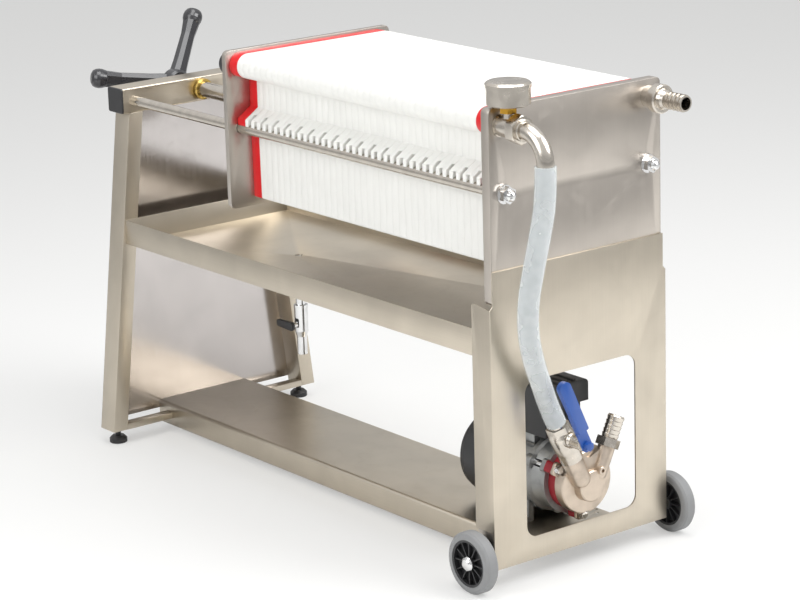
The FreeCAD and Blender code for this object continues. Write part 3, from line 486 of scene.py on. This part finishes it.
class FILTERPRESS_OT_hose(Operator):
    """Make the clear delivery hose with its braided yarn"""
    bl_idname = "filterpress.hose"
    bl_label = "Delivery hose"

    def execute(self, context):
        sizes = context.scene.filterpress_sizes
        wall = route_curve("hose_wall", HOSE_ROUTE, sizes.hose_diameter)
        wall.data.materials.append(FINISH["hose"])
        points, reach = route_points(HOSE_ROUTE, POINT_SPACING)
        frames = along_frames(points)
        yarn = self.braid(frames, reach, sizes)
        bore = self.bore(frames, sizes.hose_diameter / 2 - HOSE_WALL)
        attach(wall, "frame")
        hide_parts("delivery_hose")
        return {"FINISHED"}

    def braid(self, frames, reach, sizes):
        """Flat yarns wound both ways, which cross in diamonds."""
        radius = sizes.hose_diameter / 2 - YARN_DEPTH
        turns = reach / (2 * math.pi * radius) * math.tan(BRAID_ANGLE)
        verts, faces = [], []
        half = sizes.yarn_width / 2 / radius / math.sin(BRAID_ANGLE)
        for way in (-1, 1):
            for k in range(sizes.yarn_count):
                first = len(verts)
                for number, (centre, side, rise) in enumerate(frames):
                    angle = 2 * math.pi * (k / sizes.yarn_count + way * turns * number / len(frames))
                    for offset, lift in ((-half, 0), (0, YARN_RISE), (half, 0)):
                        a = angle + offset
                        out = side * math.cos(a) + rise * math.sin(a)
                        verts.append(centre + out * (radius + lift + (YARN_CROSSING if way > 0 else 0)))
                for number in range(len(frames) - 1):
                    for column in (0, 1):
                        a = first + 3 * number + column
                        faces.append((a, a + 1, a + 4, a + 3))
        return self.net("hose_yarn", verts, faces, "yarn")

    def bore(self, frames, radius):
        """The hose's inner wall, closed at both ends."""
        sides, verts, faces = BORE_SIDES, [], []
        for centre, side, rise in frames[::2]:
            verts += [centre + (side * math.cos(a) + rise * math.sin(a)) * radius
                      for a in (2 * math.pi * k / sides for k in range(sides))]
        for ring in range(len(verts) // sides - 1):
            for k in range(sides):
                a, b = ring * sides + k, ring * sides + (k + 1) % sides
                faces.append((a, b, b + sides, a + sides))
        faces.append(tuple(reversed(range(sides))))
        faces.append(tuple(range(len(verts) - sides, len(verts))))
        return self.net("hose_bore", verts, faces, "bore")

    def net(self, name, verts, faces, finish):
        """A piece of the hose made from corners and faces."""
        mesh = bpy.data.meshes.new(name)
        mesh.from_pydata([tuple(v) for v in verts], [], faces)
        piece = bpy.data.objects.new(name, mesh)
        bpy.context.scene.collection.objects.link(piece)
        return finished(piece, name, "frame", finish, smooth=80)


class FILTERPRESS_OT_sheet_metal(Operator):
    """Finish the folded sheets, tubes and plates"""
    bl_idname = "filterpress.sheet_metal"
    bl_label = "Sheet metal"

    def execute(self, context):
        eased("front_stand", "sheet_upright", 0.8)
        eased("head_plate", "plate", 1.0)
        eased("pressure_plate", "plate", 1.0)
        eased("tray", "sheet_long", 0.4)
        eased("shelf", "sheet_long", 0.6)
        for node in ("leg_left", "leg_right"):
            eased(node, "sheet_upright", 1.6)
        eased("cross_tube", "sheet_cross", 0.8)
        coated("mirror_sheet", "back_panel")
        eased("lower_cross_bars", "sheet_cross", 0.5)
        eased("axle_brackets", "plate", 0.5)
        return {"FINISHED"}


class FILTERPRESS_OT_plate_pack(Operator):
    """Finish the moulded filter plates and the end plates"""
    bl_idname = "filterpress.plate_pack"
    bl_label = "Plate pack"

    def execute(self, context):
        for node in ("filter_plates_odd", "filter_plates_even"):
            eased(node, "white", 0.5)
        for node in ("end_plate_head", "end_plate_screw"):
            eased(node, "red", 0.8)
        return {"FINISHED"}


class FILTERPRESS_OT_press_screw(Operator):
    """Finish the rods, the screw, the handwheel and the black caps and feet"""
    bl_idname = "filterpress.press_screw"
    bl_label = "Press screw"

    def execute(self, context):
        coated("bright_rod", "tie_rods", "spindle", "axles")
        coated("bronze", "spindle_nut")
        eased("thrust_cup", "plate", 0.6)
        coated("black", "channel_plugs", "cross_tube_caps", "levelling_feet")
        coated("grip", "handwheel")
        coated("chrome", "dome_nuts")
        return {"FINISHED"}


class FILTERPRESS_OT_wheels(Operator):
    """Finish the tyres, rims and hub caps"""
    bl_idname = "filterpress.wheels"
    bl_label = "Wheels"

    def execute(self, context):
        for side in ("left", "right"):
            coated("tyre", "tyre_" + side)
            coated("black", "rim_" + side)
            coated("chrome", "hub_cap_" + side)
        return {"FINISHED"}


class FILTERPRESS_OT_pipework(Operator):
    """Finish the inlet, outlet, gauge, valves and drain"""
    bl_idname = "filterpress.pipework"
    bl_label = "Pipework"

    def execute(self, context):
        coated("bright", "inlet_socket", "elbow", "outlet_fitting", "gauge", "suction_tail")
        eased("union_nut", "bright", 1.2)
        coated("brass", "gauge_nipple")
        eased("valve_body", "bright", 0.6)
        eased("valve_lever", "vinyl", 1.5)
        coated("chrome", "pump_studs")
        coated("chrome", "drain_valve")
        eased("drain_lever", "black", 1.0)
        return {"FINISHED"}


class FILTERPRESS_OT_pump(Operator):
    """Finish the pump head and its motor"""
    bl_idname = "filterpress.pump"
    bl_label = "Pump and motor"

    def execute(self, context):
        eased("pump_head", "cast", 1.5)
        coated("seal", "red_ring")
        coated("aluminium", "motor_flange", "motor_housing")
        coated("black", "fan_cover")
        eased("terminal_box", "black", 3.0)
        return {"FINISHED"}


FLOOR_SIZE = 40
FLOOR_GLOW = 0.45                      # share of the floor that the eye sees as plain white
LAMPS = (                              # name, azimuth, elevation, distance, width and watts
    ("key_light", 120, 42, 3.4, 2.2, 78),
    ("fill_light", 5, 30, 3.6, 2.6, 52),
    ("top_light", 60, 84, 3.2, 2.4, 60),
)
LAMP_TARGET = (0, 0, 0.4)


class FILTERPRESS_OT_studio(Operator):
    """Set up the pale floor, the soft lights and the world"""
    bl_idname = "filterpress.studio"
    bl_label = "Studio"

    def execute(self, context):
        scene = context.scene
        scene.view_settings.view_transform = "Standard"
        nothing_selected()
        bpy.ops.mesh.primitive_plane_add(size=FLOOR_SIZE)
        floor = bpy.context.object
        floor.name = floor.data.name = "studio_floor"
        floor.data.materials.append(self.floor_material(scene.filterpress_finishes.floor))
        scene.world = self.world()
        for settings in LAMPS:
            self.lamp(*settings)
        return {"FINISHED"}

    def lamp(self, name, azimuth, elevation, distance, width, watts):
        """A round soft light that faces the middle of the machine."""
        light = bpy.data.lights.new(name, "AREA")
        light.shape = "DISK"
        light.size, light.energy = width, watts
        lamp = bpy.data.objects.new(name, light)
        back = direction(math.radians(azimuth), math.radians(elevation))
        lamp.location = Vector(LAMP_TARGET) + back * distance
        lamp.rotation_euler = back.to_track_quat("Z", "Y").to_euler()
        bpy.context.scene.collection.objects.link(lamp)

    def floor_material(self, tone):
        """Painted studio floor: even and matt, a little brighter to the eye than it lights the object."""
        material, tree, output = empty_material("studio_floor_paint")
        place = add(tree, "ShaderNodeTexCoord").outputs["Object"]
        dust = add(tree, "ShaderNodeTexNoise",
                   {"Vector": place, "Scale": 3.0, "Detail": 3.0}).outputs["Fac"]
        rough = add(tree, "ShaderNodeMapRange", {"Value": dust, "To Min": 0.75, "To Max": 0.9}).outputs[0]
        paint = add(tree, "ShaderNodeBsdfPrincipled", {"Base Color": tone, "Roughness": rough}).outputs[0]
        rays = add(tree, "ShaderNodeLightPath")
        glow = add(tree, "ShaderNodeEmission", {"Color": tone, "Strength": 1.0}).outputs[0]
        shares = add(tree, "ShaderNodeMath", {0: rays.outputs["Is Camera Ray"], 1: FLOOR_GLOW},
                     operation="MULTIPLY")
        mix = add(tree, "ShaderNodeMixShader", {0: shares.outputs[0], 1: paint, 2: glow}).outputs[0]
        tree.links.new(mix, output.inputs["Surface"])
        return material

    def world(self):
        """Plain light all round: white to the camera, and a pale wall in reflections, dimmer low down."""
        world = bpy.data.worlds.new("pale_studio")
        world.use_nodes = True
        tree = world.node_tree
        tree.nodes.clear()
        output = add(tree, "ShaderNodeOutputWorld")
        outwards = add(tree, "ShaderNodeTexCoord").outputs["Generated"]
        height = add(tree, "ShaderNodeSeparateXYZ", {0: outwards}).outputs[2]
        wall = add(tree, "ShaderNodeValToRGB", {"Fac": height},
                   [(0.0, grey(0.75)), (0.12, grey(0.5)), (0.35, grey(0.85)), (0.8, grey(1.0))]).outputs[0]
        plain = add(tree, "ShaderNodeBackground", {"Color": grey(0.8), "Strength": 0.45}).outputs[0]
        mirrored = add(tree, "ShaderNodeBackground", {"Color": wall, "Strength": 0.9}).outputs[0]
        white = add(tree, "ShaderNodeBackground", {"Color": grey(1.0), "Strength": 1.0}).outputs[0]
        rays = add(tree, "ShaderNodeLightPath")
        shiny = add(tree, "ShaderNodeMath",
                    {0: rays.outputs["Is Glossy Ray"], 1: rays.outputs["Is Transmission Ray"]},
                    operation="MAXIMUM").outputs[0]
        first = add(tree, "ShaderNodeMixShader", {0: shiny, 1: plain, 2: mirrored}).outputs[0]
        second = add(tree, "ShaderNodeMixShader",
                     {0: rays.outputs["Is Camera Ray"], 1: first, 2: white}).outputs[0]
        tree.links.new(second, output.inputs["Surface"])
        return world


PIECES = (FILTERPRESS_OT_camera, FILTERPRESS_OT_hose, FILTERPRESS_OT_sheet_metal, FILTERPRESS_OT_plate_pack,
          FILTERPRESS_OT_press_screw, FILTERPRESS_OT_wheels, FILTERPRESS_OT_pipework, FILTERPRESS_OT_pump,
          FILTERPRESS_OT_studio)


class FILTERPRESS_PT_panel(Panel):
    """Lists the press's pieces in the sidebar"""
    bl_idname = "FILTERPRESS_PT_panel"
    bl_label = "Filter press"
    bl_space_type = "VIEW_3D"
    bl_region_type = "UI"
    bl_category = "Filter Press"

    def draw(self, context):
        for piece in PIECES:
            self.layout.operator(piece.bl_idname)
        for group in (context.scene.filterpress_finishes, context.scene.filterpress_sizes):
            for name in group.__annotations__:
                self.layout.prop(group, name)


CLASSES = (FILTERPRESS_PG_finishes, FILTERPRESS_PG_sizes, *PIECES, FILTERPRESS_PT_panel)


def register():
    for kind in CLASSES:
        bpy.utils.register_class(kind)
    bpy.types.Scene.filterpress_finishes = PointerProperty(type=FILTERPRESS_PG_finishes)
    bpy.types.Scene.filterpress_sizes = PointerProperty(type=FILTERPRESS_PG_sizes)


def unregister():
    del bpy.types.Scene.filterpress_sizes
    del bpy.types.Scene.filterpress_finishes
    for kind in reversed(CLASSES):
        bpy.utils.unregister_class(kind)


def main():
    register()
    nothing_selected()
    make_finishes(bpy.context.scene.filterpress_finishes)
    for piece in PIECES:
        group, action = piece.bl_idname.split(".")
        getattr(getattr(bpy.ops, group), action)()


if __name__ == "__main__":
    main()
